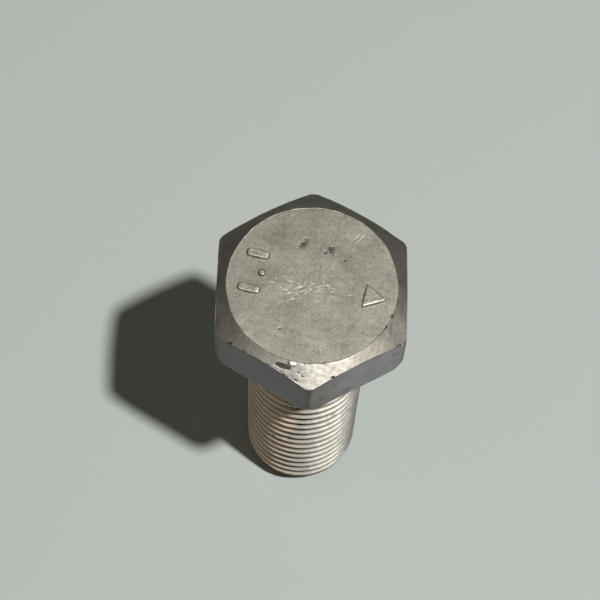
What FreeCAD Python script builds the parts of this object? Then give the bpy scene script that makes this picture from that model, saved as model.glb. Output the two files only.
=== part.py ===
"""Hex bolt M16 x 45, fully threaded, with the coarse 2 mm pitch.  Millimetres.

The bolt stands along Z.  The origin is the centre of the bearing face, the ring
that seats on whatever the bolt clamps: the head rises to +Z and the shank hangs
down to -Z.  Two flats of the head face +X and -X, so one corner points along -Y.

The bolt is one forging.  It is modelled as the features that its standard names,
each a solid of its own, meeting face to face where one feature ends.
"""
import FreeCAD, Part
import math
import os

import Sketcher

DIMENSIONS = [
    # alias, value, meaning
    ("across_flats", 24.0, "head width across two opposite flats"),
    ("head_height", 10.0, "bearing face to the top of the head"),
    ("corner_radius", 0.6, "rounding of the six upright edges of the head"),
    ("top_circle_dia", 21.6, "flat circle that the chamfer leaves on top"),
    ("head_chamfer_deg", 30.0, "slope of the chamfer round the top"),
    ("lower_circle_dia", 26.6, "circle that the lower corners are eased back to"),
    ("lower_corner_deg", 74.0, "slope of the eased lower corners"),
    ("washer_face_dia", 22.5, "outside of the bearing face"),
    ("washer_face_thick", 0.8, "how far the bearing face stands off the hexagon"),
    ("thread_dia", 16.0, "major diameter of the thread"),
    ("pitch", 2.0, "distance between neighbouring crests"),
    ("flank_half_deg", 30.0, "half of the thread's sixty degree groove"),
    ("bolt_length", 45.0, "bearing face to the end of the point"),
    ("neck_length", 2.8, "plain length between the bearing face and the thread"),
    ("neck_dia", 14.7, "plain neck, the blank size that the thread is rolled on"),
    ("neck_fillet", 0.6, "fillet from the neck to the bearing face"),
    ("point_length", 4.2, "taper of the point, from the thread's full size"),
    ("point_dia", 13.4, "flat end of the point"),
    ("cut_margin", 0.1, "how far a cutting outline reaches past the bar it cuts"),
    ("mark_height", 0.3, "how far the marks stand up from the top"),
    ("mark_centre_radius", 7.6, "bolt axis to the middle of each mark"),
    ("class_mark_deg", 168.0, "direction of the class mark, turned from +X"),
    ("class_bar_long", 2.9, "length of each bar of the class mark"),
    ("class_bar_wide", 1.2, "width of each bar of the class mark"),
    ("class_bar_spacing", 4.9, "middle of one bar to the middle of the other"),
    ("class_dot_dia", 1.1, "dot between the bars"),
    ("class_dot_inset", 1.1, "how much nearer the axis the dot is than the bars"),
    ("maker_mark_deg", -12.0, "direction of the plain triangle, turned from +X"),
    ("maker_mark_reach", 2.0, "middle of the triangle to each corner"),
]

# The basic profile of a metric external thread, as shares of the pitch.
GROOVE_MOUTH = 7 / 8
GROOVE_DEPTH = 0.6134

# How many arcs the circle of the threaded bar is drawn in.
BAR_ARCS = 8

doc = FreeCAD.newDocument("hex_bolt")


def make_sheet():
    """The spreadsheet of driving dimensions."""
    sheet = doc.addObject("Spreadsheet::Sheet", "dims")
    for row, (alias, value, meaning) in enumerate(DIMENSIONS, start=1):
        sheet.set("A%d" % row, alias)
        sheet.set("B%d" % row, str(value))
        sheet.set("C%d" % row, meaning)
        sheet.setAlias("B%d" % row, alias)
    doc.recompute()


def make_body(label):
    """An empty body named after its sub-part."""
    body = doc.addObject("PartDesign::Body", label)
    body.Label = label
    return body


def origin_item(body, role):
    """One of the body's own origin planes or axes."""
    return [item for item in body.Origin.OriginFeatures if item.Role == role][0]


def make_sketch(body, name, plane, lift=None):
    """A sketch on an origin plane of the body, raised by an expression."""
    sketch = body.newObject("Sketcher::SketchObject", name)
    sketch.AttachmentSupport = [(origin_item(body, plane), "")]
    sketch.MapMode = "FlatFace"
    if lift:
        sketch.setExpression("AttachmentOffset.Base.z", lift)
    return sketch


def measure(item, expression):
    """The number that an expression over the sheet stands for."""
    return float(item.evalExpression(expression))


def constrain(sketch, *terms, size=None):
    """Add one constraint, and tie its value to the sheet when it has one."""
    if size is None:
        sketch.addConstraint(Sketcher.Constraint(*terms))
        return
    value = measure(sketch, size)
    index = sketch.addConstraint(Sketcher.Constraint(*terms, value))
    sketch.setExpression("Constraints[%d]" % index, size)


def join_ends(sketch, count):
    """Close a loop of lines or arcs, each one's end on the next one's start."""
    for index in range(count):
        constrain(sketch, "Coincident", index, 2, (index + 1) % count, 1)


def round_outline(sketch, radius):
    """A circle about the origin, ready to be added to a sketch or cut into arcs."""
    middle = FreeCAD.Vector(0, 0, 0)
    return Part.Circle(middle, FreeCAD.Vector(0, 0, 1), measure(sketch, radius))


def add_circle(sketch, radius, construction=False):
    """A circle about the axis of the bolt."""
    index = sketch.addGeometry(round_outline(sketch, radius), construction)
    constrain(sketch, "Coincident", index, 3, -1, 1)
    constrain(sketch, "Radius", index, size=radius)
    return index


def add_lines(sketch, places):
    """Straight lines from each place to the next, and back to the first."""
    for start, end in zip(places, places[1:] + places[:1]):
        sketch.addGeometry(Part.LineSegment(start, end), False)
    join_ends(sketch, len(places))


def add_outline(sketch, corners):
    """A closed outline, each corner given by its distance from the axis and height."""
    add_lines(sketch, [
        FreeCAD.Vector(measure(sketch, across), measure(sketch, along), 0)
        for across, along in corners])
    for index, (across, along) in enumerate(corners):
        constrain(sketch, "DistanceX", -1, 1, index, 1, size=across)
        constrain(sketch, "DistanceY", -1, 1, index, 1, size=along)


def add_pad(body, name, sketch, length, downward=False):
    """A straight pad.  Faces are kept apart, so an arc stays a face of its own."""
    pad = body.newObject("PartDesign::Pad", name)
    pad.Profile = sketch
    pad.Reversed = downward
    pad.Refine = False
    pad.setExpression("Length", length)
    return pad


def add_turned(body, kind, name, sketch):
    """A full turn about the bolt's axis: PartDesign Revolution or Groove."""
    turned = body.newObject("PartDesign::" + kind, name)
    turned.Profile = sketch
    turned.ReferenceAxis = (sketch, ["V_Axis"])
    turned.Angle = 360
    turned.Refine = False
    return turned


def make_hexagon_sketch(body):
    """A regular hexagon with two upright sides, one at each end of X."""
    sketch = make_sketch(body, "hexagon", "XY_Plane", "dims.washer_face_thick")
    corner_radius = "dims.across_flats / 2 / cos(30deg)"
    reach = measure(sketch, corner_radius)
    angles = [math.radians(30 + 60 * side) for side in range(6)]
    add_lines(sketch, [
        FreeCAD.Vector(reach * math.cos(turn), reach * math.sin(turn), 0)
        for turn in angles])
    corner_circle = add_circle(sketch, corner_radius, construction=True)
    for side in range(6):
        constrain(sketch, "PointOnObject", side, 1, corner_circle)
    for side in range(1, 6):
        constrain(sketch, "Equal", 0, side)
    constrain(sketch, "Vertical", 5)
    return sketch


def upright_edges(shape):
    """Names of the straight edges that run along Z."""
    names = []
    for number, edge in enumerate(shape.Edges, start=1):
        start, end = edge.firstVertex().Point, edge.lastVertex().Point
        if math.hypot(end.x - start.x, end.y - start.y) < 1e-6:
            names.append("Edge%d" % number)
    return names


def make_hex_head():
    """The hexagon: rounded upright edges, chamfered top, eased lower corners."""
    body = make_body("hex_head")
    hexagon = make_hexagon_sketch(body)
    prism = add_pad(body, "prism", hexagon, "dims.head_height - dims.washer_face_thick")
    doc.recompute()

    rounding = body.newObject("PartDesign::Fillet", "upright_rounding")
    rounding.Base = (prism, upright_edges(prism.Shape))
    rounding.setExpression("Radius", "dims.corner_radius")

    rim = "dims.top_circle_dia / 2"
    reach = "dims.across_flats"
    drop = "dims.head_height - (%s - %s) * tan(dims.head_chamfer_deg * 1deg)" % (reach, rim)
    upper = make_sketch(body, "chamfer_profile", "XZ_Plane")
    add_outline(upper, [
        (rim, "dims.head_height"),
        (reach, "dims.head_height"),
        (reach, drop),
    ])
    add_turned(body, "Groove", "top_chamfer", upper)

    foot = "dims.lower_circle_dia / 2"
    rise = "dims.washer_face_thick + (%s - %s) * tan(dims.lower_corner_deg * 1deg)" % (reach, foot)
    lower = make_sketch(body, "lower_corner_profile", "XZ_Plane")
    add_outline(lower, [
        (foot, "dims.washer_face_thick"),
        (reach, "dims.washer_face_thick"),
        (reach, rise),
    ])
    add_turned(body, "Groove", "lower_corners", lower)
    return body


def make_washer_face():
    """The round bearing ring under the hexagon, bored for the neck."""
    body = make_body("washer_face")
    ring = make_sketch(body, "ring", "XY_Plane")
    add_circle(ring, "dims.washer_face_dia / 2")
    add_circle(ring, "dims.neck_dia / 2 + dims.neck_fillet")
    add_pad(body, "ring_pad", ring, "dims.washer_face_thick")
    return body


def make_neck_profile(body):
    """Half of the neck: a collar through the bearing ring, a fillet, a plain bar."""
    sketch = make_sketch(body, "neck_profile", "XZ_Plane")
    fillet = measure(sketch, "dims.neck_fillet")
    bar = measure(sketch, "dims.neck_dia / 2")
    collar = bar + fillet
    top = measure(sketch, "dims.washer_face_thick")
    bottom = measure(sketch, "-dims.neck_length")
    upper = [(0, bottom), (0, top), (collar, top), (collar, 0)]
    lower = [(bar, -fillet), (bar, bottom), (0, bottom)]
    for run in (upper, lower):
        for start, end in zip(run, run[1:]):
            line = Part.LineSegment(FreeCAD.Vector(*start, 0), FreeCAD.Vector(*end, 0))
            sketch.addGeometry(line, False)
    hollow = Part.Circle(FreeCAD.Vector(collar, -fillet, 0), FreeCAD.Vector(0, 0, 1), fillet)
    axis_line, top_line, collar_line, bar_line, bottom_line = range(5)
    arc = sketch.addGeometry(Part.ArcOfCircle(hollow, math.pi / 2, math.pi), False)

    constrain(sketch, "Coincident", axis_line, 2, top_line, 1)
    constrain(sketch, "Coincident", top_line, 2, collar_line, 1)
    constrain(sketch, "Coincident", collar_line, 2, arc, 1)
    constrain(sketch, "Coincident", arc, 2, bar_line, 1)
    constrain(sketch, "Coincident", bar_line, 2, bottom_line, 1)
    constrain(sketch, "Coincident", bottom_line, 2, axis_line, 1)
    constrain(sketch, "PointOnObject", axis_line, 1, -2)
    constrain(sketch, "PointOnObject", arc, 1, -1)
    for line in (axis_line, collar_line, bar_line):
        constrain(sketch, "Vertical", line)
    for line in (top_line, bottom_line):
        constrain(sketch, "Horizontal", line)
    constrain(sketch, "DistanceX", -1, 1, arc, 1, size="dims.neck_dia / 2 + dims.neck_fillet")
    constrain(sketch, "DistanceX", -1, 1, arc, 2, size="dims.neck_dia / 2")
    constrain(sketch, "DistanceY", -1, 1, arc, 2, size="-dims.neck_fillet")
    constrain(sketch, "Radius", arc, size="dims.neck_fillet")
    constrain(sketch, "DistanceY", -1, 1, axis_line, 2, size="dims.washer_face_thick")
    constrain(sketch, "DistanceY", -1, 1, axis_line, 1, size="-dims.neck_length")
    return sketch


def make_bar_sketch(body):
    """The round bar that the thread is cut in.

    Its circle is drawn as short arcs, so that the crest that the groove leaves is
    a chain of short faces, each almost straight along the thread.
    """
    sketch = make_sketch(body, "bar_circle", "XY_Plane", "-dims.neck_length")
    ring = round_outline(sketch, "dims.thread_dia / 2")
    step = 360 // BAR_ARCS
    for start in range(0, 360, step):
        arc = Part.ArcOfCircle(ring, math.radians(start), math.radians(start + step))
        sketch.addGeometry(arc, False)
    join_ends(sketch, BAR_ARCS)
    for index in range(BAR_ARCS - 1):
        constrain(sketch, "Coincident", index, 3, -1, 1)
    constrain(sketch, "Equal", 0, BAR_ARCS - 1)
    for index in range(BAR_ARCS):
        turn = index * step
        if turn % 180 == 0:
            constrain(sketch, "PointOnObject", index, 1, -1)
        elif turn % 90 == 0:
            constrain(sketch, "PointOnObject", index, 1, -2)
        else:
            across = "dims.thread_dia / 2 * cos(%ddeg)" % turn
            constrain(sketch, "DistanceX", -1, 1, index, 1, size=across)
    constrain(sketch, "Radius", 0, size="dims.thread_dia / 2")
    return sketch


def add_end_chamfers(body):
    """Taper the point to its flat end, and ease the first crest by the neck."""
    outside = "dims.thread_dia / 2 + dims.cut_margin"
    point = "dims.point_dia / 2"
    taper = "dims.point_length / (dims.thread_dia / 2 - %s)" % point
    neck = "dims.neck_dia / 2"
    point_profile = make_sketch(body, "point_profile", "XZ_Plane")
    add_outline(point_profile, [
        (point, "-dims.bolt_length"),
        (outside, "-dims.bolt_length"),
        (outside, "-dims.bolt_length + (%s - %s) * %s" % (outside, point, taper)),
    ])
    add_turned(body, "Groove", "point_taper", point_profile)

    start_profile = make_sketch(body, "thread_start_profile", "XZ_Plane")
    add_outline(start_profile, [
        (neck, "-dims.neck_length"),
        (outside, "-dims.neck_length - (%s - %s)" % (outside, neck)),
        (outside, "-dims.neck_length"),
    ])
    add_turned(body, "Groove", "thread_start_chamfer", start_profile)


def add_thread(body):
    """Cut the right-hand groove, from below the point up to the neck."""
    flare = "tan(dims.flank_half_deg * 1deg)"
    middle = "(-dims.bolt_length - dims.pitch)"
    outside = "dims.thread_dia / 2 + dims.cut_margin"
    root = "dims.thread_dia / 2 - %g * dims.pitch" % GROOVE_DEPTH
    mouth_half = "(%g * dims.pitch + 2 * dims.cut_margin * %s) / 2" % (GROOVE_MOUTH, flare)
    root_half = "(%g * dims.pitch - 2 * %g * dims.pitch * %s) / 2" % (
        GROOVE_MOUTH, GROOVE_DEPTH, flare)
    profile = make_sketch(body, "groove_profile", "XZ_Plane")
    add_outline(profile, [
        (outside, "%s - %s" % (middle, mouth_half)),
        (outside, "%s + %s" % (middle, mouth_half)),
        (root, "%s + %s" % (middle, root_half)),
        (root, "%s - %s" % (middle, root_half)),
    ])
    groove = body.newObject("PartDesign::SubtractiveHelix", "thread_groove")
    groove.Profile = profile
    groove.ReferenceAxis = (profile, ["V_Axis"])
    groove.Mode = "pitch-height-angle"
    groove.LeftHanded = False
    groove.Refine = False
    groove.setExpression("Pitch", "dims.pitch")
    groove.setExpression("Height", "dims.bolt_length + 1.5 * dims.pitch - dims.neck_length")


def make_threaded_shank():
    """Neck, thread and tapered point."""
    body = make_body("threaded_shank")
    add_turned(body, "Revolution", "neck", make_neck_profile(body))
    bar = make_bar_sketch(body)
    add_pad(body, "bar", bar, "dims.bolt_length - dims.neck_length", downward=True)
    add_end_chamfers(body)
    add_thread(body)
    return body


def place_mark(mark, direction):
    """Stand a mark on top of the head, its own X axis pointing outwards."""
    turn = "dims.%s * 1deg" % direction
    mark.setExpression("Placement.Base.x", "dims.mark_centre_radius * cos(%s)" % turn)
    mark.setExpression("Placement.Base.y", "dims.mark_centre_radius * sin(%s)" % turn)
    mark.setExpression("Placement.Base.z", "dims.head_height")
    mark.setExpression("Placement.Rotation.Angle", turn)


def make_class_mark():
    """Two raised bars side by side with a dot between them."""
    pieces = []
    for name, side in (("bar_left", "1"), ("bar_right", "-1")):
        bar = doc.addObject("Part::Box", name)
        bar.setExpression("Length", "dims.class_bar_long")
        bar.setExpression("Width", "dims.class_bar_wide")
        bar.setExpression("Height", "dims.mark_height")
        bar.setExpression("Placement.Base.x", "-dims.class_bar_long / 2")
        bar.setExpression(
            "Placement.Base.y",
            "(%s * dims.class_bar_spacing - dims.class_bar_wide) / 2" % side)
        pieces.append(bar)
    dot = doc.addObject("Part::Cylinder", "dot")
    dot.setExpression("Radius", "dims.class_dot_dia / 2")
    dot.setExpression("Height", "dims.mark_height")
    dot.setExpression("Placement.Base.x", "-dims.class_dot_inset")
    pieces.append(dot)
    mark = doc.addObject("Part::MultiFuse", "class_mark")
    mark.Label = "class_mark"
    mark.Shapes = pieces
    place_mark(mark, "class_mark_deg")
    return mark


def make_maker_mark():
    """A plain raised triangle."""
    mark = doc.addObject("Part::Prism", "maker_mark")
    mark.Label = "maker_mark"
    mark.Polygon = 3
    mark.setExpression("Circumradius", "dims.maker_mark_reach")
    mark.setExpression("Height", "dims.mark_height")
    place_mark(mark, "maker_mark_deg")
    return mark


def check(sub_parts):
    """Stop before anything is written if a feature or a sub-part has failed."""
    failed = [item.Name for item in doc.Objects
              if "Invalid" in item.State or "Error" in item.State]
    if failed:
        raise RuntimeError("features failed: " + ", ".join(failed))
    for part in sub_parts:
        if part.Shape.isNull() or not part.Shape.isValid():
            raise RuntimeError("bad shape: " + part.Label)


def main():
    make_sheet()
    sub_parts = [
        make_hex_head(),
        make_washer_face(),
        make_threaded_shank(),
        make_class_mark(),
        make_maker_mark(),
    ]
    doc.recompute()
    check(sub_parts)
    os.makedirs("parts", exist_ok=True)
    for part in sub_parts:
        part.Shape.exportStep("parts/%s.step" % part.Label)


main()
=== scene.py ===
import math

import bmesh
import bpy
import numpy as np
from mathutils import Matrix, Vector


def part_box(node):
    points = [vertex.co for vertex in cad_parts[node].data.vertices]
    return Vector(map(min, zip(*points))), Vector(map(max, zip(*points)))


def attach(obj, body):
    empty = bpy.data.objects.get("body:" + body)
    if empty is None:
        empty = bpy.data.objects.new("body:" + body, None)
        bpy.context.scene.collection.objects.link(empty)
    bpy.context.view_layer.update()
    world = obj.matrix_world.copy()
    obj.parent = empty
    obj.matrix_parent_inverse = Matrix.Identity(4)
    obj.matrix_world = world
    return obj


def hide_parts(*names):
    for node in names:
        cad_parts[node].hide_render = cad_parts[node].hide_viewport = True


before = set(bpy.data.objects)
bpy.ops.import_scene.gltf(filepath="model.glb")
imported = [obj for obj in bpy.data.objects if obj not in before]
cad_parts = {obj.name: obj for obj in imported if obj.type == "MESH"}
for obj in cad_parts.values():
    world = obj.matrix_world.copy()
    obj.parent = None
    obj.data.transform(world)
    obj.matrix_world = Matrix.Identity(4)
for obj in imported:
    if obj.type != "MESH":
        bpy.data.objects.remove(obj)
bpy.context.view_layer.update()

MM = 0.001


def node_box(node):
    """A node's lowest and highest corner, in millimetres."""
    low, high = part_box(node)
    return np.array(low) / MM, np.array(high) / MM


HEAD_LOW, HEAD_HIGH = node_box("hex_head")
RING_HIGH = node_box("washer_face")[1]
SHANK_LOW, SHANK_HIGH = node_box("threaded_shank")

# Head
HALF_FLATS = HEAD_HIGH[0]
HEAD_TOP = HEAD_HIGH[2]
HEX_BOTTOM = HEAD_LOW[2]
SECTOR = math.radians(60)
CORNER_REACH = HALF_FLATS / math.cos(SECTOR / 2)
CORNER_ROUND = 0.6
TOP_CIRCLE_RADIUS = 0.9 * HALF_FLATS
CHAMFER_ANGLE = math.radians(30)
LOWER_CIRCLE_RADIUS = 13.3
LOWER_CORNER_ANGLE = math.radians(74)
WORN_CORNER_RADIUS = 13.66

# Surfaces of the head, in the order of its materials
TOP, CHAMFER, SIDE = 0, 1, 2

# Bearing ring, neck, thread and point
RING_RADIUS = RING_HIGH[0]
RING_TOP = RING_HIGH[2]
NECK_RADIUS = 7.35
NECK_FILLET = 0.6
NECK_TOP = 0.3
NECK_END = -1.4
THREAD_RADIUS = SHANK_HIGH[0]
PITCH = 2.0
ROOT_RADIUS = THREAD_RADIUS - 0.6134 * PITCH
FLANK_ANGLE = math.radians(30)
POINT_RADIUS = 6.7
POINT_LENGTH = 4.2
TIP = SHANK_LOW[2]
DISH_DEPTH = 0.35


# ---------------------------------------------------------------- shape helpers

def polar(radius, turn_deg):
    """A point at that distance from the axis, its direction turned from +X."""
    turn = math.radians(turn_deg)
    return radius * math.cos(turn), radius * math.sin(turn)


def smoothstep(value, start, end):
    """0 before start, 1 after end, and a smooth step between them."""
    share = np.clip((value - start) / (end - start), 0.0, 1.0)
    return share * share * (3 - 2 * share)


def soft_min(first, second, blend):
    """The smaller of two values, with the corner between them rounded."""
    return (first + second - np.sqrt((first - second) ** 2 + blend * blend)) / 2


def closeness(distance, reach):
    """1 on the spot, fading to almost nothing at twice that reach."""
    return np.exp(-(distance / reach) ** 2)


def facing(turn, direction_deg, start, end):
    """How far a direction faces another: 0 below one cosine, 1 above the other."""
    return smoothstep(np.cos(turn - math.radians(direction_deg)), start, end)


def waves(points, size, seed, count=28):
    """Smooth noise with features of about that size, mostly between -1 and 1."""
    random = np.random.default_rng(seed)
    direction = random.normal(size=(count, 3))
    direction /= np.linalg.norm(direction, axis=1)[:, None]
    stretched = random.uniform(0.6, 1.7, count) * 2 * math.pi / size
    phase = random.uniform(0, 2 * math.pi, count)
    total = np.zeros(len(points))
    for index in range(count):
        total += np.sin(points @ direction[index] * stretched[index] + phase[index])
    return total / math.sqrt(count)


# ----------------------------------------------------------------- mesh helpers

def turns_round(columns):
    """Even directions once round the axis, in radians."""
    return np.arange(columns) * (2 * math.pi / columns)


def ring_points(turn, rings):
    """Points of rings round the axis, each a radius and a height in every direction."""
    return np.array([
        np.stack([radius * np.cos(turn), radius * np.sin(turn), height + 0 * turn], axis=-1)
        for radius, height in rings]).reshape(-1, 3)


def ring_faces(rings, columns, first=0):
    """Quads between neighbouring rings of points that close on themselves."""
    ring = np.arange(rings - 1)[:, None] * columns + first
    here = np.arange(columns)[None, :]
    following = (here + 1) % columns
    return np.stack(
        [ring + here, ring + following, ring + columns + following, ring + columns + here],
        axis=-1).reshape(-1, 4)


def fan_faces(centre, start, columns, upward):
    """Triangles from one point to a ring of points."""
    here = np.arange(columns) + start
    following = (np.arange(columns) + 1) % columns + start
    middle = np.full(columns, centre)
    order = [middle, here, following] if upward else [middle, following, here]
    return np.stack(order, axis=-1)


def make_mesh(name, points, quads, triangles, materials, quad_material=None, looks=None):
    """A smooth-shaded mesh object from points in millimetres.

    quad_material picks the material of each quad, and the triangles get the first
    quad's.  looks holds the values that the materials read at each point.
    """
    faces = quads.tolist() + triangles.tolist()
    mesh = bpy.data.meshes.new(name)
    mesh.from_pydata((points * MM).tolist(), [], faces)
    for material in materials:
        mesh.materials.append(material)
    if quad_material is not None:
        slots = np.full(len(faces), quad_material[0], dtype=np.int32)
        slots[:len(quads)] = quad_material
        mesh.polygons.foreach_set("material_index", slots)
    mesh.polygons.foreach_set("use_smooth", np.ones(len(faces), dtype=bool))
    for look, values in (looks or {}).items():
        layer = mesh.attributes.new(look, "FLOAT", "POINT")
        layer.data.foreach_set("value", values.astype(np.float32))
    mesh.update()
    piece = bpy.data.objects.new(name, mesh)
    bpy.context.scene.collection.objects.link(piece)
    return piece


def weld(piece, distance=0.002):
    """Join points that lie on each other, and drop the faces that this empties."""
    work = bmesh.new()
    work.from_mesh(piece.data)
    bmesh.ops.remove_doubles(work, verts=work.verts, dist=distance * MM)
    bmesh.ops.dissolve_degenerate(work, edges=work.edges, dist=distance * MM / 4)
    bmesh.ops.recalc_face_normals(work, faces=work.faces)
    work.to_mesh(piece.data)
    work.free()


# ------------------------------------------------------------- material helpers

def add_node(tree, kind, inputs=None, **settings):
    """A shader node with some of its settings and inputs filled in."""
    node = tree.nodes.new(kind)
    for setting, value in settings.items():
        setattr(node, setting, value)
    for key, value in (inputs or {}).items():
        if isinstance(value, bpy.types.NodeSocket):
            tree.links.new(value, node.inputs[key])
        else:
            node.inputs[key].default_value = value
    return node


def noise(tree, place, size_mm, detail=3.0, roughness=0.55, distortion=0.0):
    """Noise whose features are about that many millimetres across."""
    node = add_node(tree, "ShaderNodeTexNoise", {
        "Vector": place, "Scale": 1 / (size_mm * MM), "Detail": detail,
        "Roughness": roughness, "Distortion": distortion})
    return node.outputs["Fac"]


def stretch(tree, place, scale):
    """The same place with its axes scaled, so that noise becomes streaks."""
    node = add_node(tree, "ShaderNodeVectorMath", {0: place, 1: scale}, operation="MULTIPLY")
    return node.outputs[0]


def remap(tree, value, low, high, to_low, to_high):
    """A straight-line change of scale, held inside its ends."""
    node = add_node(tree, "ShaderNodeMapRange", {
        "Value": value, "From Min": low, "From Max": high,
        "To Min": to_low, "To Max": to_high}, clamp=True)
    return node.outputs["Result"]


def spread(tree, clouds, to_low, to_high):
    """Noise, which lies mostly between 0.3 and 0.7, spread between two other ends."""
    return remap(tree, clouds, 0.3, 0.7, to_low, to_high)


def combine(tree, operation, first, second):
    """One sum, product, root or other value worked out from two."""
    node = add_node(tree, "ShaderNodeMath", {0: first, 1: second}, operation=operation)
    return node.outputs[0]


def cosine_to(tree, direction, toward):
    """The cosine between a direction and a fixed one of length 1."""
    node = add_node(tree, "ShaderNodeVectorMath", {0: direction, 1: toward},
                    operation="DOT_PRODUCT")
    return node.outputs["Value"]


def blend_colours(tree, share, first, second):
    """A colour between two others, which the node takes at its inputs 6 and 7."""
    node = add_node(tree, "ShaderNodeMix", {0: share, 6: first, 7: second}, data_type="RGBA")
    return node.outputs[2]


def bump(tree, height, strength, distance_mm, normal=None):
    """Fine relief too small for the mesh."""
    inputs = {"Height": height, "Strength": strength, "Distance": distance_mm * MM}
    if normal is not None:
        inputs["Normal"] = normal
    return add_node(tree, "ShaderNodeBump", inputs).outputs["Normal"]


def turned_lines(tree, place, size_mm):
    """Fine lines that run round the axis of the bolt, as a lathe leaves them."""
    split = add_node(tree, "ShaderNodeSeparateXYZ", {0: place})
    across = combine(tree, "MULTIPLY", split.outputs["X"], split.outputs["X"])
    along = combine(tree, "MULTIPLY", split.outputs["Y"], split.outputs["Y"])
    radius = combine(tree, "SQRT", combine(tree, "ADD", across, along), 0.0)
    drift = stretch(tree, place, (0.06, 0.06, 0.06))
    outward = add_node(tree, "ShaderNodeCombineXYZ", {"X": radius}).outputs[0]
    drifted = add_node(tree, "ShaderNodeVectorMath", {0: outward, 1: drift}, operation="ADD")
    return noise(tree, drifted.outputs[0], size_mm)


def attribute(tree, name):
    """A value that the mesh carries at each point."""
    return add_node(tree, "ShaderNodeAttribute", attribute_name=name).outputs["Fac"]


def wear_dirt_and_painted_light(tree, colour, rubbed, dirt_and_shade):
    """The colour, paled where the mesh marks wear and painted highlights, and then darkened where
    it marks dirt and painted shade.
    """
    colour = blend_colours(tree, attribute(tree, "wear_and_highlight"), colour, rubbed)
    return blend_colours(tree, attribute(tree, "grime_and_shade"), colour, dirt_and_shade)


def start_metal(name):
    """A metal material, its node tree, its shader and the place on the bolt."""
    material = bpy.data.materials.new(name)
    material.use_nodes = True
    tree = material.node_tree
    shader = tree.nodes["Principled BSDF"]
    shader.inputs["Metallic"].default_value = 1.0
    place = add_node(tree, "ShaderNodeTexCoord").outputs["Object"]
    return material, tree, shader, place


def finish_metal(tree, shader, colour, roughness, normal):
    """Join the worked-out colour, roughness and relief to the shader."""
    tree.links.new(colour, shader.inputs["Base Color"])
    tree.links.new(roughness, shader.inputs["Roughness"])
    tree.links.new(normal, shader.inputs["Normal"])


# -------------------------------------------------------------------- materials

def make_top_steel():
    """Matt pressed top of the head: fine blasted grain, faint clouds and streaks."""
    dull, pale = (0.32, 0.306, 0.258, 1), (0.645, 0.62, 0.54, 1)
    # The dark colour also paints shade round the feet of the raised marks, which use this
    # material.
    rubbed, dirt_and_shade = (0.80, 0.77, 0.70, 1), (0.10, 0.085, 0.07, 1)
    material, tree, shader, place = start_metal("steel_top")
    grain = noise(tree, place, size_mm=0.22, detail=4.0, roughness=0.7)
    clouds = noise(tree, place, size_mm=3.0)
    streaks = noise(tree, stretch(tree, place, (1.0, 0.22, 1.0)), size_mm=0.35)
    tone = combine(
        tree, "ADD", spread(tree, clouds, 0.0, 0.45), spread(tree, grain, 0.0, 0.55))
    colour = wear_dirt_and_painted_light(tree, blend_colours(tree, tone, dull, pale), rubbed, dirt_and_shade)
    normal = bump(tree, streaks, strength=0.20, distance_mm=0.02)
    normal = bump(tree, grain, 0.45, 0.03, normal)
    finish_metal(tree, shader, colour, spread(tree, grain, 0.48, 0.58), normal)
    return material


def make_chamfer_steel():
    """Turned chamfer: smoother than the top, with fine marks running round it."""
    dull, pale = (0.36, 0.34, 0.295, 1), (0.54, 0.515, 0.455, 1)
    # The pale colour also paints a highlight round the front corner, and the dark colour dims the
    # chamfer where the lamp's highlight is brightest.
    rubbed, dirt_and_shade = (0.85, 0.82, 0.76, 1), (0.09, 0.075, 0.06, 1)
    material, tree, shader, place = start_metal("steel_chamfer")
    grain = noise(tree, place, size_mm=0.35, detail=4.0, roughness=0.65)
    clouds = noise(tree, place, size_mm=2.2)
    tone = spread(tree, clouds, 0.0, 1.0)
    colour = wear_dirt_and_painted_light(tree, blend_colours(tree, tone, dull, pale), rubbed, dirt_and_shade)
    normal = bump(tree, grain, strength=0.45, distance_mm=0.02)
    normal = bump(tree, turned_lines(tree, place, size_mm=0.20), 0.35, 0.02, normal)
    finish_metal(tree, shader, colour, spread(tree, grain, 0.43, 0.51), normal)
    return material


def make_flat_steel():
    """Trimmed sides of the hexagon: dark, oxidised and stained, with upright drag lines."""
    dull, pale = (0.25, 0.243, 0.248, 1), (0.37, 0.36, 0.366, 1)
    stain = (0.10, 0.09, 0.085, 1)
    # The dark colour also paints shade on the left-hand sides, under the chamfer's brink and along
    # the upright corners.
    rubbed, dirt_and_shade = (0.72, 0.70, 0.66, 1), (0.08, 0.07, 0.06, 1)
    material, tree, shader, place = start_metal("steel_flats")
    shader.inputs["Metallic"].default_value = 0.1
    shader.inputs["Specular IOR Level"].default_value = 0.25
    drag = noise(tree, stretch(tree, place, (1.0, 1.0, 0.12)), size_mm=0.25)
    grain = noise(tree, place, size_mm=0.3, detail=4.0, roughness=0.65)
    clouds = noise(tree, place, size_mm=2.8, distortion=0.6)
    blotches = noise(tree, place, size_mm=3.6, detail=4.0, roughness=0.6)
    colour = blend_colours(tree, spread(tree, clouds, 0.0, 1.0), dull, pale)
    stained = remap(tree, blotches, 0.56, 0.70, 0.0, 0.55)
    colour = blend_colours(tree, stained, colour, stain)
    colour = wear_dirt_and_painted_light(tree, colour, rubbed, dirt_and_shade)
    normal = bump(tree, drag, strength=0.25, distance_mm=0.02)
    normal = bump(tree, grain, 0.35, 0.02, normal)
    finish_metal(tree, shader, colour, spread(tree, clouds, 0.42, 0.56), normal)
    return material


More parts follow.
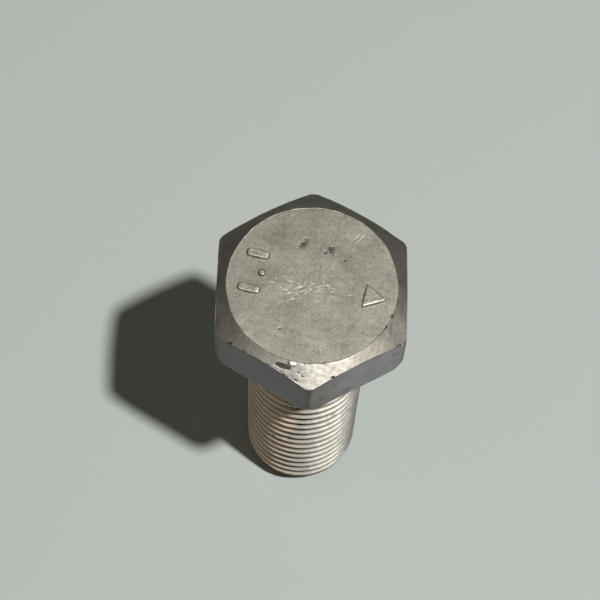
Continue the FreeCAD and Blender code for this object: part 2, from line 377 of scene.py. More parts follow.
def make_thread_steel():
    """Rolled thread: pale crests, partly rubbed and partly a painted highlight, grooves darkened
    with painted shade, and a painted brown tint on the side turned from the lamp.
    """
    dull, pale = (0.84, 0.81, 0.73, 1), (0.97, 0.94, 0.87, 1)
    # Painted light on the side turned from the lamp: a darker brown shade at its edges and a warm
    # pale fill in its middle.
    brown_shade, warm_fill = (0.50, 0.41, 0.32, 1), (0.92, 0.78, 0.63, 1)
    # The pale colour paints rubbed crests and their painted highlight; the dark colour paints
    # shade in the grooves and roots.
    rubbed, dirt_and_shade = (0.98, 0.96, 0.91, 1), (0.070, 0.052, 0.038, 1)
    material, tree, shader, place = start_metal("steel_thread")
    grain = noise(tree, place, size_mm=0.25, detail=4.0, roughness=0.6)
    clouds = noise(tree, place, size_mm=2.5)
    fill_patches = noise(tree, place, size_mm=4.0)
    shaded_side_tint = attribute(tree, "shaded_side_tint")
    brown_shade_share = combine(tree, "MULTIPLY", remap(tree, shaded_side_tint, 0.02, 0.70, 0.0, 1.0),
                   remap(tree, clouds, 0.25, 0.65, 0.70, 1.0))
    warm_fill_share = combine(tree, "MULTIPLY", remap(tree, shaded_side_tint, 0.45, 1.00, 0.0, 1.0),
                    remap(tree, fill_patches, 0.3, 0.6, 0.55, 1.0))
    colour = blend_colours(tree, spread(tree, clouds, 0.0, 1.0), dull, pale)
    colour = blend_colours(tree, brown_shade_share, colour, brown_shade)
    colour = blend_colours(tree, warm_fill_share, colour, warm_fill)
    colour = wear_dirt_and_painted_light(tree, colour, rubbed, dirt_and_shade)
    # Where the brown shade is painted the metal is made less mirror-like, and rubbed crests are a
    # little smoother.
    metal = combine(tree, "SUBTRACT", 1.0, combine(tree, "MULTIPLY", brown_shade_share, 0.75))
    tree.links.new(metal, shader.inputs["Metallic"])
    smoother = combine(tree, "MULTIPLY", attribute(tree, "wear_and_highlight"), 0.10)
    rough = combine(tree, "SUBTRACT", spread(tree, grain, 0.42, 0.50), smoother)
    normal = bump(tree, grain, strength=0.3, distance_mm=0.015)
    finish_metal(tree, shader, colour, rough, normal)
    return material


def make_bearing_steel():
    """Bearing ring: turned flat, fine circles of tool marks."""
    dull, pale = (0.40, 0.38, 0.34, 1), (0.58, 0.55, 0.49, 1)
    material, tree, shader, place = start_metal("steel_bearing")
    clouds = noise(tree, place, size_mm=2.5, detail=4.0)
    colour = blend_colours(tree, spread(tree, clouds, 0.0, 1.0), dull, pale)
    normal = bump(tree, turned_lines(tree, place, size_mm=0.12), strength=0.4, distance_mm=0.03)
    finish_metal(tree, shader, colour, spread(tree, clouds, 0.28, 0.42), normal)
    return material


# ------------------------------------------------------------- marks on the head

def blemish(kind, turn, radius, length, width, depth, run=0.0, height=HEAD_TOP):
    """A mark on the head: its middle, its half length and width, and its direction.

    turn and radius place the middle round the axis, and run is the direction that
    the mark's length lies in.  Angles are in degrees and sizes in millimetres.  A
    depth below 0 stands up instead.
    """
    middle = np.array([*polar(radius, turn), height])
    along = np.array([*polar(1.0, run), 0.0])
    return kind, middle, along, length, width, depth


def scuffs():
    """Short shallow strokes, most of them one way, where the middle of the top was struck."""
    random = np.random.default_rng(12)
    strokes = []
    for _ in range(64):
        across, along = random.normal(-1.3, 2.3), random.normal(-1.0, 0.75)
        strokes.append(blemish(
            "scratch", math.degrees(math.atan2(along, across)), math.hypot(across, along),
            length=random.uniform(0.15, 0.55), width=random.uniform(0.07, 0.13),
            depth=random.uniform(-0.012, 0.024), run=random.normal(28, 32)))
    return strokes


def head_blemishes():
    """The pits, chips, scratches and stains that the head has picked up."""
    rim = TOP_CIRCLE_RADIUS
    on_top = [
        blemish("pit", 102.6, 5.7, length=0.62, width=0.42, depth=0.035, run=40),
        blemish("pit", 98.0, 6.3, length=0.30, width=0.22, depth=0.03),
        blemish("pit", 65.4, 5.4, length=0.55, width=0.40, depth=0.035, run=110),
        blemish("pit", 71.0, 4.7, length=0.25, width=0.20, depth=0.02),
        blemish("pit", 40.4, 5.3, length=0.22, width=0.18, depth=0.02),
        blemish("pit", -122.8, 7.4, length=0.20, width=0.18, depth=0.04),
        blemish("scratch", 47.1, 9.0, length=0.75, width=0.07, depth=0.022, run=50),
        blemish("scratch", 50.3, 8.8, length=0.60, width=0.07, depth=0.020, run=47),
        blemish("scratch", -67.0, 9.2, length=0.80, width=0.06, depth=0.020, run=-86),
    ]
    on_rim = [
        blemish("pit", -21.6, rim, length=0.40, width=0.26, depth=0.015, run=70),
        blemish("pit", -30.8, rim, length=0.34, width=0.24, depth=0.015, run=60),
        blemish("pit", -81.2, rim, length=0.34, width=0.24, depth=0.015, run=10),
        blemish("pit", -90.9, rim, length=0.30, width=0.12, depth=0.01),
        blemish("pit", -94.1, rim, length=0.20, width=0.10, depth=0.01),
    ]
    on_chamfer = [
        blemish("pit", -94.8, 12.18, length=0.34, width=0.15, depth=0.02, run=80, height=9.2),
        blemish("pit", -98.2, 12.73, length=0.26, width=0.18, depth=0.02, height=8.9),
        blemish("pit", -97.2, 11.83, length=0.20, width=0.14, depth=0.02, height=9.4),
        blemish("chip", -141.6, 13.1, length=0.60, width=0.30, depth=0.24, run=40, height=8.8),
        blemish("chip", -105.5, 12.35, length=0.35, width=0.22, depth=0.10, height=8.9),
        blemish("chip", -100.0, 13.2, length=0.40, width=0.20, depth=0.10, run=-30, height=8.8),
        blemish("chip", -77.0, 12.4, length=0.22, width=0.16, depth=0.12, run=20, height=9.0),
        blemish("chip", -34.5, 13.5, length=0.50, width=0.30, depth=0.24, run=60, height=8.6),
        blemish("gouge", -107.2, 11.55, length=1.12, width=0.33, depth=0.04, run=-17, height=9.55),
        blemish("burr", -102.0, 10.98, length=0.44, width=0.34, depth=-0.10, run=-40, height=9.85),
    ]
    on_sides = [
        blemish("stain", -75.4, 12.45, length=0.30, width=0.34, depth=0, height=6.3),
        blemish("stain", -66.8, 12.1, length=0.70, width=0.50, depth=0, run=30, height=2.5),
        blemish("stain", -35.9, 13.1, length=0.55, width=0.40, depth=0, run=30, height=6.6),
    ]
    return scuffs() + on_top + on_rim + on_chamfer + on_sides


def blemish_marks(points):
    """How deep the blemishes cut at each point, how rubbed it is and how dirty."""
    depth = np.zeros(len(points))
    rubbed = np.zeros(len(points))
    dirty = np.zeros(len(points))
    ragged = waves(points, 0.45, 61)
    for kind, middle, along, length, width, deep in head_blemishes():
        offset = points - middle
        forward = offset @ along
        sideways = np.linalg.norm(offset - forward[:, None] * along, axis=1)
        share = closeness(forward, length) * closeness(sideways, width)
        if kind == "pit":
            share = np.clip(1.7 * share + 0.30 * ragged * (share > 0.1) - 0.30, 0, 1)
            dirty = np.maximum(dirty, 0.80 * share)
        elif kind in ("chip", "gouge"):
            share = smoothstep(share + 0.06 * ragged, 0.26, 0.54)
            dirty = np.maximum(dirty, 0.88 * share)
        elif kind == "stain":
            dirty = np.maximum(dirty, 0.45 * smoothstep(share + 0.15 * ragged, 0.15, 0.7))
        elif kind == "burr":
            # Metal pushed up, highest on the side away from the axis.
            outward = middle[:2] / np.linalg.norm(middle[:2])
            share = smoothstep(share, 0.2, 0.6)
            rubbed = np.maximum(rubbed, share)
            share = share * (1 + 0.5 * (offset[:, :2] @ outward) / width)
        else:
            rubbed = np.maximum(rubbed, 0.5 * share)
        depth += deep * share
    return depth, rubbed, dirty


# ------------------------------------------------------------------------- head

def chamfer_height(radius):
    """Height of the chamfer's cone at that distance from the axis."""
    return HEAD_TOP - (radius - TOP_CIRCLE_RADIUS) * math.tan(CHAMFER_ANGLE)


def hexagon_reach(turn):
    """Distance from the axis to the rounded hexagon, in each direction."""
    offset = (turn + SECTOR / 2) % SECTOR - SECTOR / 2
    round_middle = HALF_FLATS - CORNER_ROUND
    centre_reach = round_middle / math.cos(SECTOR / 2)
    tangent = math.atan(round_middle * math.tan(SECTOR / 2) / HALF_FLATS)
    beside = SECTOR / 2 - np.abs(offset)
    inside = np.maximum(CORNER_ROUND ** 2 - (centre_reach * np.sin(beside)) ** 2, 0)
    corner = centre_reach * np.cos(beside) + np.sqrt(inside)
    return np.where(np.abs(offset) < tangent, HALF_FLATS / np.cos(offset), corner)


def ease_corners(radius, height):
    """Hold the radius inside the cones that round off the lower and upper corners."""
    lower = LOWER_CIRCLE_RADIUS + (height - HEX_BOTTOM) / math.tan(LOWER_CORNER_ANGLE)
    below_tip = chamfer_height(CORNER_REACH) - height
    upper = WORN_CORNER_RADIUS + 0.35 * below_tip
    upper = np.maximum(upper, WORN_CORNER_RADIUS)
    cone = np.where(height < HEAD_TOP / 2, lower, upper)
    return np.where(radius < HALF_FLATS, radius, soft_min(radius, cone, blend=0.08))


def head_profile(reach):
    """Rings of the head from the middle of its top to its underside.

    Gives each ring's radius and height and the surface that starts at it: the top,
    the chamfer or the side.  reach is the hexagon's own radius.
    """
    upper_ease, lower_ease = 0.04, 0.28
    level = 0 * reach
    rings = []

    # The last ring of the top lies close to its rim, to keep the rim crisp.
    for radius in np.linspace(0, TOP_CIRCLE_RADIUS - 0.012, 109)[1:]:
        rings.append((radius + level, HEAD_TOP + level, TOP))
    rings.append((TOP_CIRCLE_RADIUS + level, HEAD_TOP + level, CHAMFER))
    for share in np.concatenate([[0.006], np.linspace(0, 1, 34)[1:-1], [0.993, 1]]):
        radius = TOP_CIRCLE_RADIUS + (reach - upper_ease - TOP_CIRCLE_RADIUS) * share
        rings.append((radius, chamfer_height(radius), CHAMFER))

    # The eased brink of the chamfer, the side, the eased foot and the underside.
    start = chamfer_height(reach - upper_ease)
    brink = chamfer_height(reach) - 0.7 * upper_ease
    for share in (0.35, 0.7, 1.0):
        bend = share * math.pi / 2
        radius = reach - upper_ease + upper_ease * math.sin(bend)
        rings.append((radius, start + (brink - start) * (1 - math.cos(bend)), SIDE))
    foot = HEX_BOTTOM + lower_ease
    for share in np.linspace(0, 1, 40)[1:]:
        rings.append((reach, brink + (foot - brink) * share, SIDE))
    for share in (0.25, 0.5, 0.75, 1.0):
        bend = share * math.pi / 2
        radius = reach - lower_ease * (1 - math.cos(bend))
        rings.append((radius, foot - lower_ease * math.sin(bend) + level, SIDE))
    outer, inner = reach - lower_ease, RING_RADIUS - 0.8
    for share in (0.3, 0.65, 1.0):
        rings.append((outer + (inner - outer) * share, HEX_BOTTOM + level, SIDE))
    return [(ease_corners(radius, height), height, surface) for radius, height, surface in rings]


def edge_distances(points, turn):
    """Distance from the chamfer's brink, from the top's rim and from an upright corner."""
    radius = np.hypot(points[:, 0], points[:, 1])
    reach = hexagon_reach(turn)
    to_brink = np.hypot(radius - reach, points[:, 2] - chamfer_height(reach))
    to_rim = np.hypot(radius - TOP_CIRCLE_RADIUS, points[:, 2] - HEAD_TOP)
    far_away = 9.0
    from_corner = np.abs(turn % SECTOR - SECTOR / 2) * radius
    to_corner = np.where(radius > reach - 0.3, from_corner, far_away)
    return to_brink, to_rim, to_corner


def head_normals(points, surface):
    """The direction out of the sound head at each point."""
    radius = np.maximum(np.hypot(points[:, 0], points[:, 1]), 1e-6)
    kinds = [surface == TOP, surface == CHAMFER]
    outward = np.select(kinds, [0.0, math.sin(CHAMFER_ANGLE)], 1.0)
    upward = np.select(kinds, [1.0, math.cos(CHAMFER_ANGLE)], 0.0)
    return np.stack([
        points[:, 0] / radius * outward, points[:, 1] / radius * outward, upward], axis=-1)


def lost_metal(points, surface, blemish_depth, to_brink, to_rim):
    """How much metal is gone at each point, along the direction out of the head."""
    chipped = np.clip(waves(points, 1.6, 7) - 0.9, 0, 2)
    brink_wear = 0.05 * chipped * closeness(to_brink, 0.18)
    rim_wear = 0.003 * (1 + waves(points, 1.1, 9)) * closeness(to_rim, 0.14)
    uneven = 0.012 * (1 + waves(points, 5.0, 3)) + 0.004 * (1 + waves(points, 1.2, 5))
    depth = blemish_depth + brink_wear + rim_wear + uneven
    # Only the chamfer has a burr that stands up, and the underside stays true.
    depth = np.where(surface == CHAMFER, depth, np.maximum(depth, 0))
    return np.where(points[:, 2] < HEX_BOTTOM + 0.05, 0, depth)


def head_looks(points, surface, turn, rubbed, dirty, to_brink, to_corner):
    """How pale and how dark the head is drawn at each point, between 0 and 1: wear and painted
    highlights, then dirt and painted shade.
    """
    on_chamfer, on_side = surface == CHAMFER, surface == SIDE
    # Painted highlight: the chamfer is drawn paler round the front corner, widening the lamp's
    # highlight there.
    front_highlight = on_chamfer * facing(turn, -104, 0.55, 0.96) * (
        0.55 + 0.16 * waves(points, 0.5, 19))
    brink_rub = 0.08 * np.clip(waves(points, 2.0, 11), 0, 2) * closeness(to_brink, 0.14)
    wear_and_highlight = rubbed + front_highlight + brink_rub

    low_corner = 0.25 * closeness(to_corner, 1.2) * (1 - smoothstep(points[:, 2], 1.0, 4.5))
    # Painted shade in a thin band on the sides just under the chamfer's brink.
    brink_shadow = 0.60 * on_side * closeness(to_brink, 0.22)
    # Painted shade along the upright corners, for the dark reflection in their rounding.
    corner_shade = 0.75 * on_side * closeness(to_corner, 0.32) * (
        0.7 + 0.3 * waves(points, 2.0, 15))
    # Painted shade: the sides facing the front left are drawn darker, as they get less light.
    left_side_shade = 0.46 * on_side * facing(turn, -120, 0.5, 0.92)
    # Painted shade that dims the chamfer at the front right, where the lamp's highlight is
    # brightest.
    dimmed_highlight = 0.32 * on_chamfer * facing(turn, -57, 0.80, 1.0)
    grime_and_shade = dirty + low_corner + brink_shadow + corner_shade + left_side_shade + dimmed_highlight
    return {"wear_and_highlight": np.clip(wear_and_highlight, 0, 1), "grime_and_shade": np.clip(grime_and_shade, 0, 0.9)}


def make_head(top_steel):
    """The hexagon with its chamfer, nicked edges and dented, scratched top."""
    columns = 720
    round_head = turns_round(columns)
    rings = head_profile(hexagon_reach(round_head))
    points = ring_points(round_head, [(radius, height) for radius, height, _ in rings])
    apex, base = len(points), len(points) + 1
    points = np.vstack([points, [0, 0, HEAD_TOP], [0, 0, HEX_BOTTOM]])
    quads = ring_faces(len(rings), columns)[:, ::-1]
    caps = np.vstack([
        fan_faces(apex, 0, columns, upward=True),
        fan_faces(base, (len(rings) - 1) * columns, columns, upward=False)])
    ring_surface = np.array([surface for _, _, surface in rings])
    surface = np.append(np.repeat(ring_surface, columns), [TOP, SIDE])

    turn = np.arctan2(points[:, 1], points[:, 0])
    to_brink, to_rim, to_corner = edge_distances(points, turn)
    depth, rubbed, dirty = blemish_marks(points)
    lost = lost_metal(points, surface, depth, to_brink, to_rim)
    points = points - head_normals(points, surface) * lost[:, None]
    looks = head_looks(points, surface, turn, rubbed, dirty, to_brink, to_corner)
    piece = make_mesh(
        "bolt_head", points, quads, caps,
        [top_steel, make_chamfer_steel(), make_flat_steel()],
        np.repeat(ring_surface[:-1], columns), looks)
    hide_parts("hex_head")
    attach(piece, "root")
    return piece


# ------------------------------------------------------------------ bearing ring

def make_bearing_ring():
    """The bearing ring: a shallow turned step with eased edges and fine tool grooves."""
    columns = 360
    bore = NECK_RADIUS + NECK_FILLET
    bore_ease, outer_ease = 0.08, 0.22
    outline = [(bore, RING_TOP), (bore, bore_ease), (bore + bore_ease, 0.0)]
    outline += [
        (radius, 0.0) for radius in np.linspace(bore + 0.3, RING_RADIUS - outer_ease, 14)]
    for share in (0.33, 0.66, 1.0):
        bend = share * math.pi / 2
        radius = RING_RADIUS - outer_ease + outer_ease * math.sin(bend)
        outline.append((radius, outer_ease * (1 - math.cos(bend))))
    outline += [(RING_RADIUS, 0.45), (RING_RADIUS - 0.03, RING_TOP - 0.08)]
    outline.append((RING_RADIUS, RING_TOP))
    points = ring_points(turns_round(columns), outline)

    # The last ring joins the first one across the hidden top of the ring.
    quads = ring_faces(len(outline), columns)
    last = (len(outline) - 1) * columns
    closing = ring_faces(2, columns)
    closing = np.where(closing >= columns, closing - columns, closing + last)

    groove_depth, groove_pitch = 0.012, 0.55
    radius = np.hypot(points[:, 0], points[:, 1])
    grooved = (points[:, 2] < 0.01) * (radius > bore + 0.2)
    points[:, 2] += groove_depth * (1 + np.sin(radius * 2 * math.pi / groove_pitch)) * grooved
    no_triangles = np.zeros((0, 3), dtype=int)
    piece = make_mesh("bearing_ring", points, np.vstack([quads, closing]), no_triangles,
                      [make_bearing_steel()])
    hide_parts("washer_face")
    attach(piece, "root")
    return piece


# -------------------------------------------------------------- neck and thread

def shaded_side_strength(turn, wander=0.0):
    """How strong the painted tint of the side turned from the lamp is, in each direction from the
    axis.

    It is strongest at the front left, and fades faster towards the front than
    round the back.
    """
    strongest_way, even = math.radians(218), math.radians(8)
    front_span, rear_span = math.radians(70), math.radians(115)
    beside = (turn - strongest_way + math.pi) % (2 * math.pi) - math.pi + wander
    span = np.where(beside > 0, front_span, rear_span)
    return 1 - smoothstep(np.abs(beside), even, span)


def thread_radius(from_groove):
    """Radius of the thread at that distance from the middle of its groove."""
    root_round = 0.1443 * PITCH
    tangent = root_round * math.cos(FLANK_ANGLE)
    root = ROOT_RADIUS + root_round - np.sqrt(
        np.maximum(root_round ** 2 - np.minimum(from_groove, tangent) ** 2, 0))
    tangent_radius = ROOT_RADIUS + root_round * (1 - math.sin(FLANK_ANGLE))
    flank = tangent_radius + (from_groove - tangent) / math.tan(FLANK_ANGLE)
    rising = np.where(from_groove < tangent, root, flank)
    return soft_min(rising, THREAD_RADIUS + 0.01, blend=0.06)


def thread_samples():
    """Distances along one pitch, closer together where the profile bends."""
    tangent, crest, crest_top = 0.125 * PITCH, 0.40 * PITCH, 0.46 * PITCH
    half = np.concatenate([
        np.linspace(0, tangent, 4)[:-1],
        np.linspace(tangent, crest, 4)[:-1],
        np.linspace(crest, crest_top, 6)[:-1],
        np.linspace(crest_top, PITCH / 2, 3)[:-1]])
    return np.concatenate([half, [PITCH / 2], PITCH - half[:0:-1]])


def thread_grid(turn, samples):
    """Height of each point of the thread, and its distance from the groove's middle.

    Each row of points climbs with the thread, so that after a full turn it meets the
    row that starts one pitch higher.  Heights are held between the tip and the neck.
    """
    laps = int((NECK_END - TIP) / PITCH) + 3
    along = np.concatenate([samples + PITCH * lap for lap in range(laps)])
    height = TIP - PITCH + along[:, None] + PITCH * turn[None, :] / (2 * math.pi)
    phase = np.broadcast_to(along[:, None] % PITCH, height.shape)
    return np.clip(height, TIP, NECK_END), np.minimum(phase, PITCH - phase)


def thread_faces(rows, columns, rows_per_turn):
    """Quads of the thread, whose last column joins the first one a pitch higher up."""
    row = np.arange(rows - 1)[:, None] * columns
    here = np.arange(columns - 1)
    strips = np.stack([
        row + here, row + here + 1, row + columns + here + 1, row + columns + here],
        axis=-1).reshape(-1, 4)
    seam = np.arange(rows - 1 - rows_per_turn)
    last = seam * columns + columns - 1
    first = (seam + rows_per_turn) * columns
    seam_strip = np.stack([last, first, first + columns, last + columns], axis=-1)
    return np.vstack([strips, seam_strip])


def thread_surface(turn, height, from_groove):
    """Points of the thread, how pale each is from wear and painted highlight, how dark from
    painted shade, and how strongly the shaded side is tinted.
    """
    place = np.stack([
        THREAD_RADIUS * np.cos(turn), THREAD_RADIUS * np.sin(turn), height], axis=-1)
    rough = waves(place, 1.3, 21)
    knocked = np.clip(waves(place, 2.3, 23) - 1.5, 0, 1)

    # Worn and knocked crests, then the run-out to the neck and the taper to the point.
    radius = thread_radius(from_groove)
    crest = smoothstep(radius, THREAD_RADIUS - 0.35, THREAD_RADIUS - 0.05)
    radius = radius - crest * (0.012 + 0.010 * rough + 0.10 * knocked)
    run_out = smoothstep(height, NECK_END - 3.2, NECK_END - 0.2)
    radius = radius + (NECK_RADIUS - radius) * run_out
    taper = (THREAD_RADIUS - POINT_RADIUS) / POINT_LENGTH
    radius = soft_min(radius, POINT_RADIUS + 0.03 + (height - TIP) * taper, blend=0.06)
    radius = np.minimum(radius, THREAD_RADIUS)
    points = np.stack([radius * np.cos(turn), radius * np.sin(turn), height], axis=-1)

    # Crests are paler, partly worn and partly a painted highlight; the grooves and roots get
    # painted shade where the ridge above shades them, and so does the right-hand edge.
    threaded = 1 - run_out
    # Painted light: a brown tint on the side turned from the lamp, which also damps the crest
    # highlight and the groove shade there.
    shaded_side_tint = shaded_side_strength(turn, wander=0.26 * waves(place, 9.0, 25))
    wear_and_highlight = crest * (0.30 + 0.20 * rough) * threaded * (1 - 0.9 * shaded_side_tint)
    depth = THREAD_RADIUS - radius
    groove_shade = 0.93 * smoothstep(depth, 0.18, 0.38) * threaded
    groove_shade *= 1 - 0.80 * smoothstep(shaded_side_tint, 0.15, 1.0)
    root_shade = 0.80 * smoothstep(depth, 0.45, 1.05) * threaded
    # Painted shade along the right-hand edge of the thread.
    right_edge_shade = 0.40 * facing(turn, 8, 0.55, 0.92)
    grime_and_shade = np.maximum(np.maximum(groove_shade, root_shade), right_edge_shade)
    return points, wear_and_highlight, grime_and_shade, shaded_side_tint


def neck_outline():
    """Neck and fillet, from the end of the thread up into the bore of the bearing ring."""
    outline = [(NECK_RADIUS, NECK_END), (NECK_RADIUS, -1.0)]
    for share in np.linspace(0, 1, 7):
        bend = share * math.pi / 2
        outline.append((NECK_RADIUS + NECK_FILLET * (1 - math.cos(bend)),
                        -NECK_FILLET * (1 - math.sin(bend))))
    outline.append((NECK_RADIUS + NECK_FILLET, NECK_TOP))
    return outline


def end_outline():
    """The end of the bolt, from inside its shallow dish out to its narrow flat rim."""
    rim = 0.9 * POINT_RADIUS
    outline = [(POINT_RADIUS, TIP)]
    outline += [(radius, TIP + DISH_DEPTH * (1 - smoothstep(radius, 0.55 * rim, rim)))
                for radius in np.linspace(rim, 0.25, 22)]
    return outline[::-1]


def make_shank():
    """Neck, rolled thread with its run-out, and the point with its dished end."""
    columns = 200
    turn = turns_round(columns)
    samples = thread_samples()
    height, from_groove = thread_grid(turn, samples)
    rows = len(height)
    thread, wear_and_highlight, grime_and_shade, shaded_side_tint = thread_surface(
        np.tile(turn, rows), height.reshape(-1), from_groove.reshape(-1))

    neck, end = neck_outline(), end_outline()
    neck_start = len(thread)
    end_start = neck_start + len(neck) * columns
    end_middle = end_start + len(end) * columns
    points = np.vstack([
        thread, ring_points(turn, neck), ring_points(turn, end),
        [0, 0, TIP + DISH_DEPTH], [0, 0, NECK_TOP]])
    quads = np.vstack([
        thread_faces(rows, columns, len(samples)),
        ring_faces(len(neck), columns, neck_start),
        ring_faces(len(end), columns, end_start)])
    caps = np.vstack([
        fan_faces(end_middle, end_start, columns, upward=False),
        fan_faces(end_middle + 1, end_start - columns, columns, upward=True)])

    # The neck, then the end with its middle, then the hidden middle of the neck's top.
    on_neck, on_end = np.ones(len(neck) * columns), np.ones(len(end) * columns + 1)
    wear_and_highlight = np.concatenate([wear_and_highlight, 0.20 * on_neck, 0.25 * on_end, [0]])
    grime_and_shade = np.concatenate([grime_and_shade, 0.15 * on_neck, 0.10 * on_end, [0]])
    shaded_side_tint = np.concatenate([shaded_side_tint, np.tile(shaded_side_strength(turn), len(neck)), 0 * on_end, [0]])
    looks = {"wear_and_highlight": np.clip(wear_and_highlight, 0, 1), "grime_and_shade": np.clip(grime_and_shade, 0, 1),
             "shaded_side_tint": np.clip(shaded_side_tint, 0, 1)}
    piece = make_mesh(
        "threaded_bar", points, quads, caps, [make_thread_steel()], looks=looks)
    weld(piece)
    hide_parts("threaded_shank")
    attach(piece, "root")
    return piece


# ----------------------------------------------------------------- raised marks

def bar_reach(turn, half_length, half_width):
    """Radius of a bar with rounded corners, in each direction from its middle."""
    squareness = 5.0
    across = np.abs(np.cos(turn)) / half_length
    along = np.abs(np.sin(turn)) / half_width
    return (across ** squareness + along ** squareness) ** (-1 / squareness)


def triangle_reach(turn, corner_reach):
    """Radius of a triangle with eased corners, one of them in direction 0."""
    inner = corner_reach / 2
    sharpness = 14.0
    total = np.zeros_like(turn)
    for side in (60, 180, 300):
        across_side = np.maximum(np.cos(turn - math.radians(side)), 0) / inner
        total += across_side ** sharpness
    return total ** (-1 / sharpness)


def make_raised_mark(name, node, centre, turn_deg, reach, material):
    """A low raised mark with sloping sides, let into the top of the head.

    reach is its radius in each direction, before it is turned and put in its place.
    """
    columns = len(reach)
    height = node_box(node)[1][2] - HEAD_TOP
    sunk, dip, top_inset = 0.06, 0.01, 0.14
    # Each ring's outset, its height over the head's top, how rubbed it is and how dark it is
    # drawn; the dark round the foot is painted shade.
    steps = [
        (0.14, -sunk, 0.0, 0.5), (0.10, 0.0, 0.0, 0.5), (0.05, 0.04, 0.0, 0.4),
        (0.01, 0.12, 0.0, 0.15), (-0.03, height * 0.75, 0.3, 0.0),
        (-0.07, height * 0.93, 0.5, 0.0), (-top_inset, height, 0.3, 0.0)]
    rings = [(reach + outset, HEAD_TOP + level) for outset, level, _, _ in steps]
    for share in (0.75, 0.5, 0.25):
        rings.append(((reach - top_inset) * share, HEAD_TOP + height - dip * (1 - share)))
    apex = len(rings) * columns
    points = np.vstack([
        ring_points(turns_round(columns), rings),
        [0, 0, HEAD_TOP + height - dip], [0, 0, HEAD_TOP - sunk]])
    quads = ring_faces(len(rings), columns)
    caps = np.vstack([
        fan_faces(apex, apex - columns, columns, upward=True),
        fan_faces(apex + 1, 0, columns, upward=False)])

    spin = math.radians(turn_deg)
    across, along = points[:, 0].copy(), points[:, 1].copy()
    points[:, 0] = centre[0] + across * math.cos(spin) - along * math.sin(spin)
    points[:, 1] = centre[1] + across * math.sin(spin) + along * math.cos(spin)
    above = points[:, 2] > HEAD_TOP + 0.05
    points[above, 2] -= 0.012 * (1 + waves(points[above], 0.9, 41))
    points[above, 2] = np.minimum(points[above, 2], HEAD_TOP + height)

    wear_and_highlight = np.repeat([step[2] for step in steps] + [0.1] * 3, columns)
    grime_and_shade = np.repeat([step[3] for step in steps] + [0.0] * 3, columns)
    piece = make_mesh(name, points, quads, caps, [material], looks={
        "wear_and_highlight": np.append(wear_and_highlight, [0.1, 0]), "grime_and_shade": np.append(grime_and_shade, [0, 0.5])})
    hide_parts(node)
    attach(piece, "root")
    return piece


def make_marks(top_steel):
    """Two bars with a dot between them, and a plain triangle opposite."""
    mark_radius, class_turn, maker_turn = 7.6, 168.0, -12.0
    bar_offset, dot_inset = 2.45, 1.1
    turn = turns_round(96)
    bar = bar_reach(turn, half_length=1.38, half_width=0.55)
    dot = np.full_like(turn, 0.42)
    triangle = triangle_reach(turn, corner_reach=1.9)

    middle = np.array(polar(mark_radius, class_turn))
    sideways = np.array(polar(bar_offset, class_turn + 90))
    inward = -np.array(polar(dot_inset, class_turn))
    for name, side in (("class_bar_a", 1), ("class_bar_b", -1)):
        make_raised_mark(
            name, "class_mark", middle + sideways * side, class_turn, bar, top_steel)
    make_raised_mark("class_dot", "class_mark", middle + inward, class_turn, dot, top_steel)
    make_raised_mark("maker_triangle", "maker_mark", polar(mark_radius, maker_turn),
                     maker_turn, triangle, top_steel)


# --------------------------------------------------------- floor, light, camera

def make_floor():
    """A plain pale floor under the point of the bolt, its sizes in metres."""
    half, level = 3.0, TIP * MM
    mesh = bpy.data.meshes.new("floor")
    mesh.from_pydata(
        [(-half, -half, level), (half, -half, level), (half, half, level), (-half, half, level)],
        [], [(0, 1, 2, 3)])
    floor = bpy.data.objects.new("floor", mesh)
    bpy.context.scene.collection.objects.link(floor)
    material = bpy.data.materials.new("pale_floor")
    material.use_nodes = True
    shader = material.node_tree.nodes["Principled BSDF"]
    shader.inputs["Base Color"].default_value = (0.500, 0.545, 0.530, 1)
    shader.inputs["Roughness"].default_value = 0.75
    mesh.materials.append(material)


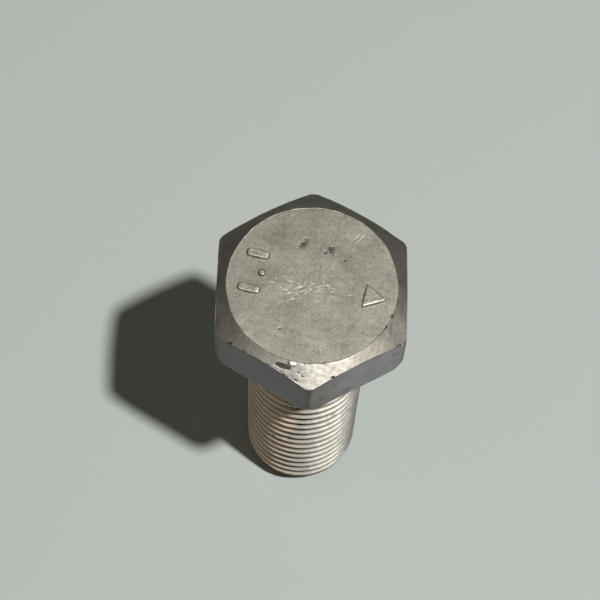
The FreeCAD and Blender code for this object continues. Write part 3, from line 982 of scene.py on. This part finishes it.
def make_key_light():
    """One lamp nearly overhead, a little to the front right, with its sizes in metres.

    It lights a pool of the floor round the bolt.
    """
    toward_lamp = Vector((0.33, -0.24, 1.0)).normalized()
    distance, pool_radius, softness_deg, power_watts = 1.3, 0.42, 2.9, 66.0
    data = bpy.data.lights.new("key", "SPOT")
    data.energy = power_watts
    data.color = (1.0, 0.985, 0.955)
    data.spot_size = 2 * math.atan(pool_radius / distance)
    data.spot_blend = 1.0
    data.shadow_soft_size = distance * math.tan(math.radians(softness_deg / 2))
    light = bpy.data.objects.new("key", data)
    bpy.context.scene.collection.objects.link(light)
    light.location = toward_lamp * distance
    light.rotation_mode = "QUATERNION"
    light.rotation_quaternion = (-toward_lamp).to_track_quat("-Z", "Y")


def make_world():
    """A dim room, palest high up behind the bolt, with a warm glow at the front left."""
    dim, pale = (0.031, 0.030, 0.026, 1), (0.110, 0.109, 0.101, 1)
    warm, glow_sharpness = (0.23, 0.187, 0.14, 1), 14.0
    palest_way, warm_way = (0.0, 0.40, 0.92), (-0.60, -0.35, 0.72)
    world = bpy.data.worlds.new("studio")
    world.use_nodes = True
    tree = world.node_tree
    background = tree.nodes["Background"]
    direction = add_node(tree, "ShaderNodeTexCoord").outputs["Generated"]
    rise = remap(tree, cosine_to(tree, direction, palest_way), 0.50, 1.0, 0.0, 1.0)
    colour = blend_colours(tree, rise, dim, pale)
    warm_share = combine(tree, "MAXIMUM", cosine_to(tree, direction, warm_way), 0.0)
    glow = combine(tree, "POWER", warm_share, glow_sharpness)
    colour = blend_colours(tree, glow, colour, warm)
    tree.links.new(colour, background.inputs["Color"])
    background.inputs["Strength"].default_value = 1.0
    bpy.context.scene.world = world


def make_camera():
    """The camera, above and in front of the bolt, looking steeply down."""
    place = Vector((-4.8, -89.9, 201.2)) * MM
    aim = Vector((-1.32, 2.34, 0.0)) * MM
    roll = math.radians(3.9)
    data = bpy.data.cameras.new("camera")
    data.sensor_width = 36.0
    data.lens = 101.4
    data.clip_start = 0.01
    data.clip_end = 20.0
    camera = bpy.data.objects.new("camera", data)
    bpy.context.scene.collection.objects.link(camera)
    forward = (aim - place).normalized()
    level = forward.cross(Vector((0, 0, 1))).normalized()
    upright = level.cross(forward)
    right = level * math.cos(roll) + upright * math.sin(roll)
    up = right.cross(forward)
    camera.matrix_world = Matrix((
        (right.x, up.x, -forward.x, place.x),
        (right.y, up.y, -forward.y, place.y),
        (right.z, up.z, -forward.z, place.z),
        (0, 0, 0, 1)))
    bpy.context.scene.camera = camera


top_steel = make_top_steel()
make_head(top_steel)
make_bearing_ring()
make_shank()
make_marks(top_steel)
make_floor()
make_key_light()
make_world()
make_camera()
bpy.context.scene.view_settings.view_transform = "Standard"
